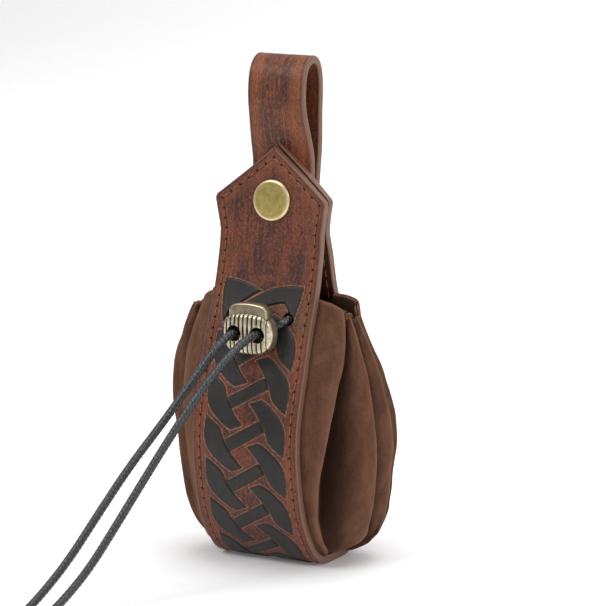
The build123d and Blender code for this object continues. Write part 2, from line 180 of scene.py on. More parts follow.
class Shader:
    def __init__(self, name, **constants):
        self.material = bpy.data.materials.new(name)
        self.material.use_nodes = True
        self.tree = self.material.node_tree
        self.tree.nodes.clear()
        self.bsdf = self.node("ShaderNodeBsdfPrincipled")
        out = self.node("ShaderNodeOutputMaterial")
        self.tree.links.new(self.bsdf.outputs[0], out.inputs["Surface"])
        for key, value in constants.items():
            self.bsdf.inputs[key.replace("_", " ")].default_value = value

    def node(self, kind, **settings):
        made = self.tree.nodes.new(kind)
        for key, value in settings.items():
            setattr(made, key, value)
        return made

    def put(self, socket, value):
        if hasattr(value, "is_linked"):
            self.tree.links.new(value, socket)
        else:
            socket.default_value = value

    def make(self, kind, output, sockets, **settings):
        """One output of a new node that has these values or links on its sockets."""
        made = self.node(kind, **settings)
        for key, value in sockets.items():
            self.put(made.inputs[key], value)
        return made.outputs[output]

    def attribute(self, name, output="Fac"):
        return self.make("ShaderNodeAttribute", output, {}, attribute_name=name)

    def place(self):
        """The position in the row frame, in millimetres."""
        return self.scaled(self.make("ShaderNodeTexCoord", "Object", {}), (1000, 1000, 1000))

    def scaled(self, vector, scale):
        return self.make("ShaderNodeMapping", 0, {"Vector": vector, "Scale": scale})

    def noise(self, vector, scale, detail=4.0, rough=0.55, distortion=0.0):
        sockets = {
            "Vector": vector, "Scale": scale, "Detail": detail, "Roughness": rough,
            "Distortion": distortion,
        }
        return self.make("ShaderNodeTexNoise", "Fac", sockets)

    def cells(self, vector, scale, feature="F1"):
        sockets = {"Vector": vector, "Scale": scale}
        return self.make("ShaderNodeTexVoronoi", "Distance", sockets, feature=feature)

    def span(self, value, low, high, to_low=0.0, to_high=1.0):
        sockets = {
            "Value": value, "From Min": low, "From Max": high, "To Min": to_low, "To Max": to_high,
        }
        return self.make("ShaderNodeMapRange", 0, sockets, interpolation_type="SMOOTHSTEP")

    def maths(self, operation, first, second):
        return self.make("ShaderNodeMath", 0, {0: first, 1: second}, operation=operation)

    def mix(self, share, first, second):
        return self.make("ShaderNodeMix", 2, {0: share, 6: first, 7: second}, data_type="RGBA")

    def over(self, color, *layers):
        """A colour with layers of (share, colour) laid over it in turn."""
        for share, layer in layers:
            color = self.mix(share, color, layer)
        return color

    def bump(self, height, strength, distance_mm, below=None):
        sockets = {"Height": height, "Strength": strength, "Distance": distance_mm * MM}
        if below:
            sockets["Normal"] = below
        return self.make("ShaderNodeBump", 0, sockets)

    def finish(self, color, roughness, normal=None):
        self.put(self.bsdf.inputs["Base Color"], color)
        self.put(self.bsdf.inputs["Roughness"], roughness)
        if normal:
            self.put(self.bsdf.inputs["Normal"], normal)
        return self.material


def leather_material(name, light, dark, streak, with_paint):
    """Aniline leather with vertical streaks, pebbled grain and painted edges, from flat
    coordinates in mm; paint, cut and hole are masks on the mesh's points, and hole is painted shade
    in the stitch holes."""
    s = Shader(name, Coat_Weight=0.04, Coat_Roughness=0.35, Specular_IOR_Level=0.34)
    flat, rim = s.attribute("flat", "Vector"), s.attribute("rim")
    patches = s.noise(s.scaled(flat, (0.10, 0.05, 1)), 1.0, 5, 0.65, 0.8)
    streaks = s.noise(s.scaled(flat, (0.95, 0.055, 1)), 1.0, 4, 0.6, 0.1)
    lines = s.noise(s.scaled(flat, (1.5, 0.02, 1)), 1.0, 3, 0.5, 0.3)
    mottle = s.noise(flat, 0.9, 6, 0.75)
    specks = s.span(s.noise(s.scaled(flat, (1.3, 0.7, 1)), 1.0, 5, 0.8), 0.47, 0.60)
    flecks = s.span(s.noise(s.scaled(flat, (1, 0.6, 2)), 1.0, 5, 0.8), 0.53, 0.60)
    crackle = s.span(s.cells(flat, 0.75, "DISTANCE_TO_EDGE"), 0.0, 0.09, 0.35, 0)
    # Warmer towards the edges, and burnished dark at the very edge.
    warm = s.maths("MULTIPLY", s.span(rim, 3.0, 8.0, 0.55, 0), s.span(mottle, 0.35, 0.6))
    color = s.over(
        light,
        (s.span(patches, 0.43, 0.57, 0, 0.9), dark),
        (s.span(streaks, 0.52, 0.66, 0, 0.5), streak),
        (s.span(streaks, 0.48, 0.34, 0, 0.4), dark),
        (s.span(lines, 0.62, 0.70, 0, 0.6), streak),
        (s.span(mottle, 0.46, 0.60, 0, 0.60), dark),
        (warm, streak),
        (s.maths("MULTIPLY", specks, 0.60), rgb(34, 17, 14)),
        (s.maths("MULTIPLY", flecks, 0.42), streak),
        (s.span(rim, 0.4, 2.2, 0.6, 0), rgb(46, 31, 27)),
        (s.maths("MULTIPLY", crackle, s.span(mottle, 0.6, 0.4)), streak),
    )
    if with_paint:
        black = s.mix(s.noise(flat, 0.25, 5, 0.6), rgb(24, 23, 20), rgb(46, 43, 39))
        worn = s.span(s.noise(flat, 2.6, 4, 0.7), 0.64, 0.78, 0, 0.4)
        black = s.mix(worn, black, rgb(64, 46, 40))
        bare = s.mix(s.span(mottle, 0.35, 0.6), rgb(112, 60, 44), rgb(190, 136, 110))
        color = s.over(
            color, (s.attribute("cut"), bare), (s.attribute("paint"), black),
            # Painted shade in the stitch holes.
            (s.attribute("hole"), rgb(26, 12, 10)),
        )
    rim_paint = s.mix(s.noise(flat, 1.3, 4, 0.6), rgb(106, 74, 58), rgb(136, 100, 80))
    color = s.mix(s.attribute("side"), color, rim_paint)
    pores = s.maths("MULTIPLY", s.cells(flat, 1.6), 0.7)
    grain = s.maths("ADD", pores, s.noise(flat, 2.4, 5, 0.65))
    waves = s.bump(s.noise(s.scaled(flat, (1, 0.35, 1)), 0.35, 4), 0.25, 0.9)
    rough = s.span(streaks, 0.3, 0.7, 0.40, 0.54)
    return s.finish(color, rough, s.bump(grain, 0.32, 0.22, waves))


def suede_material():
    """Brushed suede, lighter where crest is 1, partly worn nap and partly painted highlight, and
    painted shade where fold is 1.
    """
    s = Shader(
        "suede", Sheen_Weight=0.35, Sheen_Roughness=0.45, Sheen_Tint=rgb(176, 128, 96),
        Specular_IOR_Level=0.12,
    )
    place = s.place()
    nap = s.noise(s.scaled(place, (1, 1, 0.8)), 2.6, 5, 0.7)
    cloud = s.noise(s.scaled(place, (1, 1, 0.45)), 0.16, 5, 0.6, 0.6)
    crest = s.maths("MULTIPLY", s.attribute("crest"), s.span(cloud, 0.2, 0.7, 0.3, 0.6))
    color = s.over(
        rgb(76, 50, 39),
        (s.span(cloud, 0.36, 0.66), rgb(99, 68, 52)),
        (s.span(nap, 0.40, 0.72, 0, 0.55), rgb(118, 82, 63)),
        (s.span(s.noise(place, 1.2, 4, 0.6), 0.55, 0.75, 0, 0.4), rgb(66, 42, 32)),
        # Crests: partly worn nap, partly painted highlight.
        (crest, rgb(138, 100, 78)),
        # Painted shade in the folds and inside the turned hem.
        (s.span(s.attribute("fold"), 0.0, 1.0, 0, 0.8), rgb(34, 21, 15)),
    )
    fuzz = s.maths("ADD", nap, s.maths("MULTIPLY", s.noise(place, 6.0, 3, 0.7), 0.6))
    return s.finish(color, 0.95, s.bump(fuzz, 0.45, 0.18, s.bump(cloud, 0.3, 1.2)))


def cord_material():
    """Black waxed cord; its braid is in the mesh, and strand is the height of each strand, with
    painted highlight on the strands' tops and painted shade between them.
    """
    s = Shader("cord", Specular_IOR_Level=0.6, Coat_Weight=0.45, Coat_Roughness=0.24)
    place = s.place()
    color = s.over(
        rgb(4, 5, 6),
        # Painted highlight on the braid's raised strands.
        (s.span(s.attribute("strand"), 0.25, 0.95), rgb(26, 30, 34)),
        (s.span(s.noise(place, 1.6, 4, 0.75), 0.55, 0.68, 0, 0.75), rgb(92, 102, 110)),
    )
    rough = s.span(s.noise(place, 1.4, 3), 0.35, 0.65, 0.30, 0.50)
    return s.finish(color, rough, s.bump(s.noise(place, 5.0, 4, 0.7), 0.4, 0.12))


def brass_material(name, light, dark, rough_low, rough_high):
    """Antique brass: tarnish in patches, painted highlight where edge is 1 and painted shade where
    cavity is 1.
    """
    s = Shader(name, Metallic=0.92)
    place = s.place()
    tarnish = s.noise(place, 0.5, 6, 0.65)
    brushed = s.noise(s.scaled(place, (0.8, 4.0, 6.0)), 1.2, 3, 0.6)
    color = s.over(
        light, (s.span(tarnish, 0.35, 0.7), dark), (s.span(brushed, 0.3, 0.75, 0, 0.25), dark),
        # Painted highlight on rims, bevels and rib crowns; painted shade in troughs, gaps and round
        # the cap's skirt.
        (s.attribute("edge"), rgb(236, 218, 172)), (s.attribute("cavity"), rgb(38, 30, 20)),
    )
    rough = s.span(tarnish, 0.3, 0.75, rough_low, rough_high)
    return s.finish(color, rough, s.bump(brushed, 0.12, 0.08))


def thread_material():
    s = Shader("thread", Specular_IOR_Level=0.3, Sheen_Weight=0.2)
    place = s.place()
    color = s.mix(s.noise(place, 2.0, 3), rgb(112, 66, 44), rgb(150, 96, 66))
    return s.finish(color, 0.7, s.bump(s.noise(place, 6.0, 2), 0.4, 0.1))


# Name: light, dark and streak colour, and whether it carries the painted plait.
LEATHERS = {
    "leather": ((108, 55, 35), (48, 29, 26), (150, 84, 52), True),
    "leather_plain": ((116, 60, 34), (54, 32, 26), (160, 92, 52), False),
    "leather_lining": ((92, 48, 34), (60, 33, 27), (104, 54, 36), False),
}
# Name: light and dark colour, and the lowest and highest roughness.
METALS = {
    "snap_brass": ((190, 172, 106), (150, 134, 78), 0.34, 0.46),
    "lock_metal": ((222, 213, 188), (162, 150, 122), 0.28, 0.40),
    "button_metal": ((158, 147, 128), (120, 109, 92), 0.32, 0.44),
    "steel": ((190, 190, 186), (150, 150, 146), 0.25, 0.35),
}
MATERIALS = {"suede": suede_material(), "cord": cord_material(), "thread": thread_material()}
for name, (light, dark, streak, with_paint) in LEATHERS.items():
    MATERIALS[name] = leather_material(name, rgb(*light), rgb(*dark), rgb(*streak), with_paint)
for name, (light, dark, low, high) in METALS.items():
    MATERIALS[name] = brass_material(name, rgb(*light), rgb(*dark), low, high)


def dress(obj, material):
    """Gives a piece its material."""
    obj.data.materials.clear()
    obj.data.materials.append(MATERIALS[material])
    return obj


# ---- camera, light and floor
camera_data = bpy.data.cameras.new("camera")
camera_data.lens, camera_data.sensor_width = 200.0, 36
camera = bpy.data.objects.new("camera", camera_data)
camera.location = Vector((588.7, -1048.6, 316.1)) * MM
look = Vector((-2.4, 17.8, 90.2)) * MM - camera.location
camera.rotation_euler = look.to_track_quat("-Z", "Y").to_euler()
bpy.context.scene.collection.objects.link(camera)
bpy.context.scene.camera = camera

world = bpy.data.worlds.new("studio")
world.use_nodes = True
world.node_tree.nodes["Background"].inputs[0].default_value = (1.0, 1.0, 1.0, 1)
world.node_tree.nodes["Background"].inputs[1].default_value = 0.40
bpy.context.scene.world = world
bpy.context.scene.view_settings.view_transform = "Standard"


def soft_light(name, place, size, power, aim=(0, 0, 0.08)):
    """A square lamp that faces the bag, or another place; metres and watts."""
    data = bpy.data.lights.new(name, "AREA")
    data.size, data.energy = size, power
    lamp = bpy.data.objects.new(name, data)
    lamp.location = place
    lamp.rotation_euler = (Vector(aim) - lamp.location).to_track_quat("-Z", "Y").to_euler()
    bpy.context.scene.collection.objects.link(lamp)


soft_light("key", (-0.45, -0.85, 1.0), 0.45, 6.8)
soft_light("side", (0.95, -0.15, 0.55), 0.4, 2.6)
soft_light("top", (0.1, 0.15, 1.3), 0.9, 8.6)
soft_light("backdrop", (0, 0.8, 1.3), 1.2, 13.6, aim=(0, 2.0, 0.3))

# A flat floor that curves up behind the bag, as (y, z) in metres.
FLOOR_LINE = [(-2.6, 0), (1.2, 0), (1.75, 0.14), (2.05, 0.5), (2.1, 2.2)]
FLOOR_ROWS, FLOOR_COLUMNS = 60, 5
profile = spline(FLOOR_LINE, (1, 0), (0, 1), FLOOR_ROWS)
floor_points = [(x, y, z) for y, z in profile for x in np.linspace(-3, 3, FLOOR_COLUMNS)]
floor_faces = grid_faces(FLOOR_ROWS, FLOOR_COLUMNS)
floor = make_object("floor", np.array(floor_points) / MM, floor_faces, closed=False)
floor_shader = Shader(
    "floor", Specular_IOR_Level=0.2, Emission_Color=rgb(255, 255, 255), Emission_Strength=0.07
)
floor_tone = floor_shader.noise(floor_shader.place(), 0.004, 2)
MATERIALS["floor"] = floor_shader.finish(
    floor_shader.mix(floor_tone, rgb(247, 247, 248), rgb(249, 249, 249)), 0.6
)
floor.data.materials.append(MATERIALS["floor"])

# ---- free cords
CORD_D = 3.0
MESH_STEP = 0.22  # distance between the rings of a braided mesh
BRAID_HIGH = 0.13
CORD_LEFT_ROUTE = [
    (-18.6, -11.5, 92.3), (-11.5, -11.5, 92.3), (-11.5, -21.1, 90.8), (-3.7, -22.0, 87.3),
    (-3.9, -37.4, 86.9), (-9.0, -50.4, 72.8), (-13.2, -64.0, 59.8), (-17.6, -79.5, 46.6),
    (-21.8, -94.5, 31.4), (-25.2, -106.5, 18.8), (-28.6, -117.5, 9.4), (-31.6, -127.5, 2.6),
    (-33.6, -137.5, 1.7), (-33.8, -147.5, 1.6), (-30.0, -156.0, 3.2), (-23.4, -160.5, 3.4),
]
CORD_RIGHT_ROUTE = [
    (18.6, -11.5, 92.3), (11.5, -11.5, 92.3), (11.5, -21.1, 90.8), (5.7, -22.2, 87.3),
    (5.5, -38.4, 87.3), (0.2, -53.4, 75.8), (-4.8, -68.0, 60.5), (-9.2, -82.5, 44.4),
    (-13.0, -95.5, 29.8), (-16.4, -107.5, 16.9), (-19.6, -118.5, 8.2), (-22.2, -128.5, 2.6),
    (-23.2, -137.5, 1.7), (-20.6, -146.5, 1.6), (-14.6, -152.8, 3.2), (-7.0, -154.8, 3.4),
]


def nurbs_line(route):
    """The points, in mm, of the smooth curve that has route as its control points."""
    curve = bpy.data.curves.new("route", "CURVE")
    curve.dimensions, curve.resolution_u = "3D", 24
    run = curve.splines.new("NURBS")
    run.points.add(len(route) - 1)
    for point, place in zip(run.points, route):
        point.co = (*[c * MM for c in place], 1)
    run.order_u, run.use_endpoint_u = 3, True
    holder = bpy.data.objects.new("route", curve)
    mesh = bpy.data.meshes.new_from_object(holder)
    line = np.array([v.co for v in mesh.vertices]) / MM
    bpy.data.meshes.remove(mesh)
    bpy.data.curves.remove(curve)
    return line


def braid(angle, length, strands=8, pitch=7.2):
    """Height of an eight-strand round braid's surface."""
    one = strands / 2 * angle + 2 * np.pi * strands / 2 * length / pitch
    other = strands / 2 * angle - 2 * np.pi * strands / 2 * length / pitch
    crossing = np.abs(np.sin(one / 2 + np.pi / 4)) * np.abs(np.sin(other / 2 + np.pi / 4))
    return BRAID_HIGH * (crossing * 2 - 1)


def braided_mesh(name, line, radius, around, lowest=None):
    """A braided cord along a line in mm; lowest keeps its surface above that height."""
    fine = at_lengths(line, np.arange(0, lengths(line)[-1], MESH_STEP))
    points, faces, turn, reach = tube(fine, radius, around, braid)
    if lowest is not None:
        points[:, 2] = np.maximum(points[:, 2], lowest)
    strand = braid(turn, reach) / (2 * BRAID_HIGH) + 0.5
    return dress(make_object(name, points, faces, strand=strand), "cord")


def cord_mesh(name, line):
    return braided_mesh(name, line, CORD_D / 2 - 0.05, 28)


def knot_mesh(name, line):
    """An overhand knot in the cord's end, with its short tail."""
    end = line[-1]
    along = (line[-1] - line[-8]) / np.linalg.norm(line[-1] - line[-8])
    side = np.cross(along, (0, 0, 1.0))
    side /= np.linalg.norm(side)
    up = np.cross(side, along)
    t = np.linspace(-0.35, 2 * np.pi + 0.35, 90)
    ahead = 3.6 + 2.1 * np.sin(t) * 0.9 + 0.28 * (t - np.pi)
    across = 1.45 * (np.cos(t) + 0.7 * np.cos(2 * t)) * 0.8
    height = 0.95 * np.sin(1.5 * t + 0.4)
    path = end + ahead[:, None] * along + across[:, None] * side + height[:, None] * up
    onward = (path[-1] - path[-4]) / np.linalg.norm(path[-1] - path[-4])
    tail = path[-1] + np.outer(np.linspace(0.2, 2.4, 8), onward)
    path = np.concatenate([[end - 0.6 * along], path, tail])
    path[:, 2] = np.maximum(path[:, 2], 1.45)
    return braided_mesh(name, path, 1.28, 20, lowest=0.05)


for side_name, route in (("left", CORD_LEFT_ROUTE), ("right", CORD_RIGHT_ROUTE)):
    line = nurbs_line(route)
    free = cord_mesh(f"braided_cord_{side_name}", line)
    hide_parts(f"cord_{side_name}")
    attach(free, "bag")
    knot = knot_mesh(f"cord_end_knot_{side_name}", line)
    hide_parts(f"cord_knot_{side_name}")
    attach(knot, "bag")

# The drawstring inside the casings: from one cord's exit round the mouth to the other's.
CASING, CASING_TURN = (22.0, -6.3), 5.2
exit_x, exit_y, exit_z = CORD_RIGHT_ROUTE[0]
half_run = [(exit_x, exit_y)] + [
    (CASING[0] + CASING_TURN * math.cos(a), CASING[1] + CASING_TURN * math.sin(a))
    for a in np.radians(np.linspace(-90, 90, 25))
]
run = half_run + [(-x, y) for x, y in reversed(half_run)]
cased = cord_mesh("braided_drawstring_run", np.array([(x, y, exit_z) for x, y in run]))
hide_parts("drawstring_loop")
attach(cased, "bag")

# ---- the strip: two leather layers, front and back
# Depths below the outer face of the outer leather's back and of the lining's.
LEATHER, STRIP = 1.7, 3.2
FRONT_TIP_Z, BACK_TIP_Z = 151.2, 152.6
FRONT_FACE = [
    (-8.2, 152.2), (-9.4, 132), (-10.3, 122), (-12.5, 110), (-15.7, 98), (-20.0, 87),
    (-25.5, 70), (-29.2, 57), (-30.3, 45), (-28.8, 32), (-25.0, 18), (-18.6, 7.4), (-12.6, 2.0),
    (-5, 0),
]
BACK_FACE = [
    (-1.5, 153.6), (-2.7, 132), (-3.4, 123), (-1.2, 113), (1.4, 102), (5.6, 92),
    (14.5, 77), (24.5, 61), (30.3, 45), (29.2, 32), (25.2, 18), (18.6, 7.4), (12.6, 2.0), (5, 0),
]
# Corners of a panel's edge, as half width and height, and the shoulders' radius.
WAIST, SHOULDERS, LOW_EDGE = (20.8, 121.0), (22.7, 133.0), (21.0, 101.0)
SHOULDER_R = 2.5
HALF_WIDTH = 21.5
EDGE_CURL = 1.6  # how far the point's edges curl forward


def side_of(points):
    return 1 if points[-1][0] > 0 else -1


def face_line(points):
    """A panel's outer face in (y, z), from its tip down and along the floor to the middle."""
    side = side_of(points)
    curve = spline(points, (0, -1), (-side, 0), 900)
    flat = np.stack([np.linspace(points[-1][0], 0, 30)[1:], np.zeros(29)], axis=1)
    line = np.concatenate([curve, flat])
    return at_lengths(line, np.linspace(0, lengths(line)[-1], 1400))


def rounded(corner, before, after, radius):
    """Points of the arc that rounds a corner of an outline."""
    corner, before, after = (np.array(p, float) for p in (corner, before, after))
    one = (before - corner) / np.linalg.norm(before - corner)
    two = (after - corner) / np.linalg.norm(after - corner)
    half = math.acos(one @ two) / 2
    start, end = corner + one * radius / math.tan(half), corner + two * radius / math.tan(half)
    centre = corner + (one + two) / np.linalg.norm(one + two) * radius / math.sin(half)
    arc = start + (end - start) * np.linspace(0, 1, 14)[:, None] - centre
    return centre + arc / np.linalg.norm(arc, axis=1)[:, None] * radius


def outline(tip_z):
    """The half width and height of a panel's edge, from its tip to the floor."""
    arc = rounded(SHOULDERS, (0, tip_z), WAIST, SHOULDER_R)
    low = [WAIST, LOW_EDGE, (HALF_WIDTH, 75), (HALF_WIDTH, -5)]
    return np.concatenate([[(0, tip_z)], arc, low])


class Panel:
    """Maps flat coordinates, x and the length s from the tip, to places on a panel."""

    def __init__(self, points, tip_z):
        self.side = side_of(points)
        self.line = face_line(points)
        self.along = lengths(self.line)
        edge = outline(tip_z)
        self.edge = edge[np.argsort(edge[:, 1])]
        self.start = float(np.interp(-tip_z, -self.line[:, 1], self.along)) + 0.05
        self.end = self.along[-1]
        step = unit(np.gradient(self.line, axis=0))
        self.inward = np.stack([self.side * step[:, 1], -self.side * step[:, 0]], axis=1)

    def height(self, s):
        return np.interp(s, self.along, self.line[:, 1])

    def half(self, s):
        return np.interp(self.height(s), self.edge[:, 1], self.edge[:, 0])

    def at(self, x, s, depth):
        y, z = (np.interp(s, self.along, self.line[:, k]) for k in (0, 1))
        y = y - EDGE_CURL * (x / 21) ** 2 * smoothstep(114, 133, z)
        ny, nz = (np.interp(s, self.along, self.inward[:, k]) for k in (0, 1))
        return np.stack([x, y + ny * depth, z + nz * depth], axis=-1)

    def inner_y(self, z, depth):
        """Where the face at a depth is at height z."""
        face = self.line + self.inward * depth
        keep = face[:, 1] > depth + 0.02
        return np.interp(z, face[keep][::-1, 1], face[keep][::-1, 0])

    def length_at(self, z):
        return float(np.interp(-z, -self.line[:, 1], self.along))


front = Panel(FRONT_FACE, FRONT_TIP_Z)
back = Panel(BACK_FACE, BACK_TIP_Z)

# The painted plait, in (x, s) round the middle of each cross bar; one motif per PERIOD.
FIRST_BAR, PERIOD, MOTIFS = 90.0, 15.6, 6
BAR = [(-8.0, 2.2), (5.9, -6.1), (8.0, -2.2), (-5.9, 6.1)]
LEAF = [
    (-16.0, -21.8), (-16.6, -16.5), (-16.4, -12), (-14.5, -8.3), (-11.2, -5.3), (-8, -2.9),
    (-5.8, -2.0), (-1.2, -3.8), (-5.0, -7.9), (-7.3, -11.5), (-8.6, -13.7), (-9.8, -17.4),
    (-13.4, -20.2),
]
TOP_OVER = [
    (15.7, 50), (11.2, 49.9), (6.2, 50.7), (2.6, 51.7), (-0.4, 53.2), (-3.4, 55), (-6.1, 56.9),
    (-8.6, 58.8), (-12.0, 62.8), (-14.8, 68.0), (-15.6, 72.5), (-14.2, 72.2), (-11.5, 66.5),
    (-8.0, 63.0), (-4, 61), (1.2, 58.4), (6.2, 56.7), (8.9, 56.4), (10.5, 58.6), (13.8, 62.3),
    (14.3, 59), (15.2, 54.5),
]
TOP_UNDER = [
    (-16.3, 49), (-12, 49.3), (-7, 50.4), (-3.4, 51.6), (-1.4, 52.6), (-4.4, 54.4), (-8.0, 57.0),
    (-9.9, 58.6), (-12.6, 61.6), (-14.9, 65.2), (-15.8, 62), (-16.6, 57), (-16.9, 53),
]
CORNERED = 42.0  # a bend of more degrees than this stays a corner


def softened(polygon, turns=2):
    """A closed outline with its shallow corners rounded and its sharp ones kept."""
    points = [np.array(p, float) for p in polygon]
    for _ in range(turns):
        cut = []
        for k, here in enumerate(points):
            before, after = points[k - 1], points[(k + 1) % len(points)]
            one, two = here - before, after - here
            bend = abs(math.degrees(math.atan2(one[0] * two[1] - one[1] * two[0], one @ two)))
            if bend > CORNERED:
                cut.append(here)
            else:
                cut += [here + (before - here) * 0.25, here + (after - here) * 0.25]
        points = cut
    return np.array(points)


def plait():
    """Outlines of the painted strands: the top pair, then bars with a leaf at each side."""
    shapes = [softened(TOP_OVER), softened(TOP_UNDER)]
    for k in range(-1, MOTIFS):
        middle = np.array((0, FIRST_BAR + k * PERIOD))
        shapes.append(np.array(BAR) + middle)
        if k >= 0:
            shapes.append(softened(LEAF) + middle)
        shapes.append(-softened(LEAF) + middle)
    shapes.append(-softened(LEAF) + (0, FIRST_BAR - 2 * PERIOD))
    return shapes


def inside_by(points, polygon):
    """Signed distance of each point to a closed outline, positive inside."""
    best = np.full(len(points), np.inf)
    inside = np.zeros(len(points), bool)
    for a, b in zip(polygon, np.roll(polygon, -1, axis=0)):
        d = b - a
        t = np.clip(((points - a) @ d) / max(d @ d, 1e-12), 0, 1)
        best = np.minimum(best, ((points - a - t[:, None] * d) ** 2).sum(1))
        if a[1] != b[1]:
            crossing = (a[1] > points[:, 1]) != (b[1] > points[:, 1])
            inside ^= crossing & (points[:, 0] < a[0] + d[0] * (points[:, 1] - a[1]) / d[1])
    return np.where(inside, 1, -1) * np.sqrt(best)


def stitch_path(panel, inset=2.6):
    """The sewing line, in (x, s), up one side, over the pointed end and down the other."""
    tip = (0.0, panel.start)
    chain = [tip] + [(x, panel.length_at(z)) for x, z in (SHOULDERS, WAIST, LOW_EDGE)]
    chain.append((HALF_WIDTH, panel.end))
    chain = np.array(chain)
    step = unit(np.diff(chain, axis=0))
    shift = np.stack([-step[:, 1], step[:, 0]], axis=1) * inset
    moved = []
    for k in range(1, len(step)):
        a, b = chain[k] + shift[k - 1], chain[k] + shift[k]
        t = np.linalg.solve(np.stack([step[k - 1], -step[k]], axis=1), b - a)
        moved.append(a + step[k - 1] * t[0])
    top = chain[0] + shift[0]
    top = top - step[0] * (top[0] / step[0][0])
    right = np.array([top] + moved + [chain[-1] + shift[-1]])
    left = right[::-1] * (-1, 1)
    return np.concatenate([left[:-1], right])


def distance_to_chain(points, chain):
    """Distance of each point to an open chain of straight runs."""
    best = np.full(len(points), np.inf)
    for a, b in zip(chain, chain[1:]):
        d = b - a
        t = np.clip(((points - a) @ d) / (d @ d), 0, 1)
        best = np.minimum(best, ((points - a - t[:, None] * d) ** 2).sum(1))
    return np.sqrt(best)


STITCH_PITCH = 3.95


def stitch_holes(panel):
    """Evenly pitched holes along each straight run, with one at every corner."""
    chain = stitch_path(panel)
    holes = [chain[:1]]
    for a, b in zip(chain, chain[1:]):
        count = max(1, round(np.linalg.norm(b - a) / STITCH_PITCH))
        holes.append(a + (b - a) * (np.arange(1, count + 1) / count)[:, None])
    return np.concatenate(holes)


def rim_distance(panel, x, s):
    """How far a flat place is from the panel's edge, near enough for colour."""
    chain = np.array([(panel.half(t), t) for t in np.linspace(panel.start, panel.end, 60)])
    return distance_to_chain(np.stack([np.abs(x), s], axis=1), chain)


def face_relief(panel, x, s, with_plait):
    """Height in mm and colour masks of a panel's outer face."""
    flat = np.stack([x, s], axis=1)
    height, paint, cut = np.zeros(len(x)), np.zeros(len(x)), np.zeros(len(x))
    if with_plait:
        strand, edge_gap = np.full(len(x), -9.0), np.full(len(x), 9.0)
        for shape in plait():
            low, high = shape.min(0) - 1.6, shape.max(0) + 1.6
            near = ((flat > low) & (flat < high)).all(1)
            by = inside_by(flat[near], shape)
            strand[near] = np.maximum(strand[near], by)
            edge_gap[near] = np.minimum(edge_gap[near], np.abs(by + 0.30))
        groove = 1 - smoothstep(0.0, 0.45, edge_gap)
        height += 0.36 * smoothstep(-0.15, 0.5, strand) - 0.38 * groove * (strand < 0.3)
        paint = smoothstep(-0.20, 0.02, strand)
        cut = (1 - smoothstep(0.10, 0.34, edge_gap)) * 0.9
    chain = stitch_path(panel)
    away = distance_to_chain(flat, chain)
    height -= 0.22 * np.exp(-((away / 0.55) ** 2))
    # Stitch holes: pits in the face, with a hole mask of painted shade in them.
    hole = np.zeros(len(x))
    for place in stitch_holes(panel):
        near = (np.abs(flat - place) < 1.6).all(1)
        far = np.linalg.norm(flat[near] - place, axis=1)
        height[near] -= 0.75 * (1 - smoothstep(0.12, 0.52, far))
        hole[near] = np.maximum(hole[near], 1 - smoothstep(0.26, 0.48, far))
    height += 0.07 * np.sin(0.31 * x + 0.9 * np.sin(0.12 * s)) * np.sin(0.17 * s + 0.1 * x)
    return height, paint, cut, hole


EDGE_ARC = np.radians([22, 45, 67, 90])
EDGE_POINTS = 2 * len(EDGE_ARC)  # at each side of a loop round a layer or the strap
REAR_COLUMNS = 24


def rounded_edge(width, depth, reach, drop):
    """Points (x, depth) of a quarter round, from a face out to the side at width."""
    return [(width - reach * (1 - math.sin(a)), depth + drop * (1 - math.cos(a))) for a in EDGE_ARC]


def layer_mesh(
    name, panel, outer, inner, pitch, edge_out, edge_in, relief=False, plaited=False, pits=()
):
    """A closed leather layer between two depths, with rounded painted edges."""
    rows = int((panel.end - panel.start) / pitch) + 1
    s_rows = np.linspace(panel.start, panel.end, rows)
    half = panel.half(s_rows)
    slant = np.sqrt(1 + np.gradient(half, s_rows) ** 2)
    columns = int(2 * HALF_WIDTH / pitch)
    u = np.linspace(-1, 1, columns)
    inner_u = np.linspace(1, -1, REAR_COLUMNS)
    loops, flats = [], []
    for s, w, stretch in zip(s_rows, half, slant):
        a_out, a_in = min(edge_out * stretch, 0.45 * w), min(edge_in * stretch, 0.45 * w)
        right = rounded_edge(w, outer, a_out, edge_out)
        right += rounded_edge(w, inner, a_in, -edge_in)[::-1]
        left = [(-x, depth) for x, depth in right[::-1]]
        loop = [(x, outer) for x in u * (w - a_out)] + right
        loop += [(x, inner) for x in inner_u * (w - a_in)] + left
        loops.append(loop)
        flats.append([(x, s, outer) for x, _ in loop])
    loops, flats = np.array(loops), np.array(flats)
    count = loops.shape[1]
    side_mask = np.zeros(count)
    side_mask[columns : columns + EDGE_POINTS] = side_mask[-EDGE_POINTS:] = 1
    side_mask[columns] = side_mask[-1] = 0.75
    s_all = np.repeat(s_rows, count)
    x_all, depth = loops[:, :, 0].ravel(), loops[:, :, 1].ravel()
    face = np.tile(np.arange(count) < columns, rows)
    masks = {key: np.zeros(len(x_all)) for key in ("paint", "cut", "hole")}
    if relief:
        height, paint, cut, hole = face_relief(panel, x_all[face], s_all[face], plaited)
        depth[face] -= height
        masks["paint"][face], masks["cut"][face], masks["hole"][face] = paint, cut, hole
    is_rear = np.zeros(count, bool)
    is_rear[columns + EDGE_POINTS : columns + EDGE_POINTS + REAR_COLUMNS] = True
    rear = np.tile(is_rear, rows)
    for x, z, radius, bottom in pits:
        away = np.hypot(x_all[rear] - x, s_all[rear] - panel.length_at(z))
        depth[rear] = np.where(away < radius, bottom, depth[rear])
    points = panel.at(x_all, s_all, depth)
    faces = capped_faces(rows, count, flip=panel.side > 0)
    # The back takes its pattern from another depth of the noise than the front.
    flat = flats.reshape(-1, 3) + (0, 0, 7 * (panel.side + 1))
    return make_object(
        name, points, faces, sharp_deg=50, flat=flat, side=np.tile(side_mask, rows),
        rim=rim_distance(panel, x_all, s_all), **masks,
    )


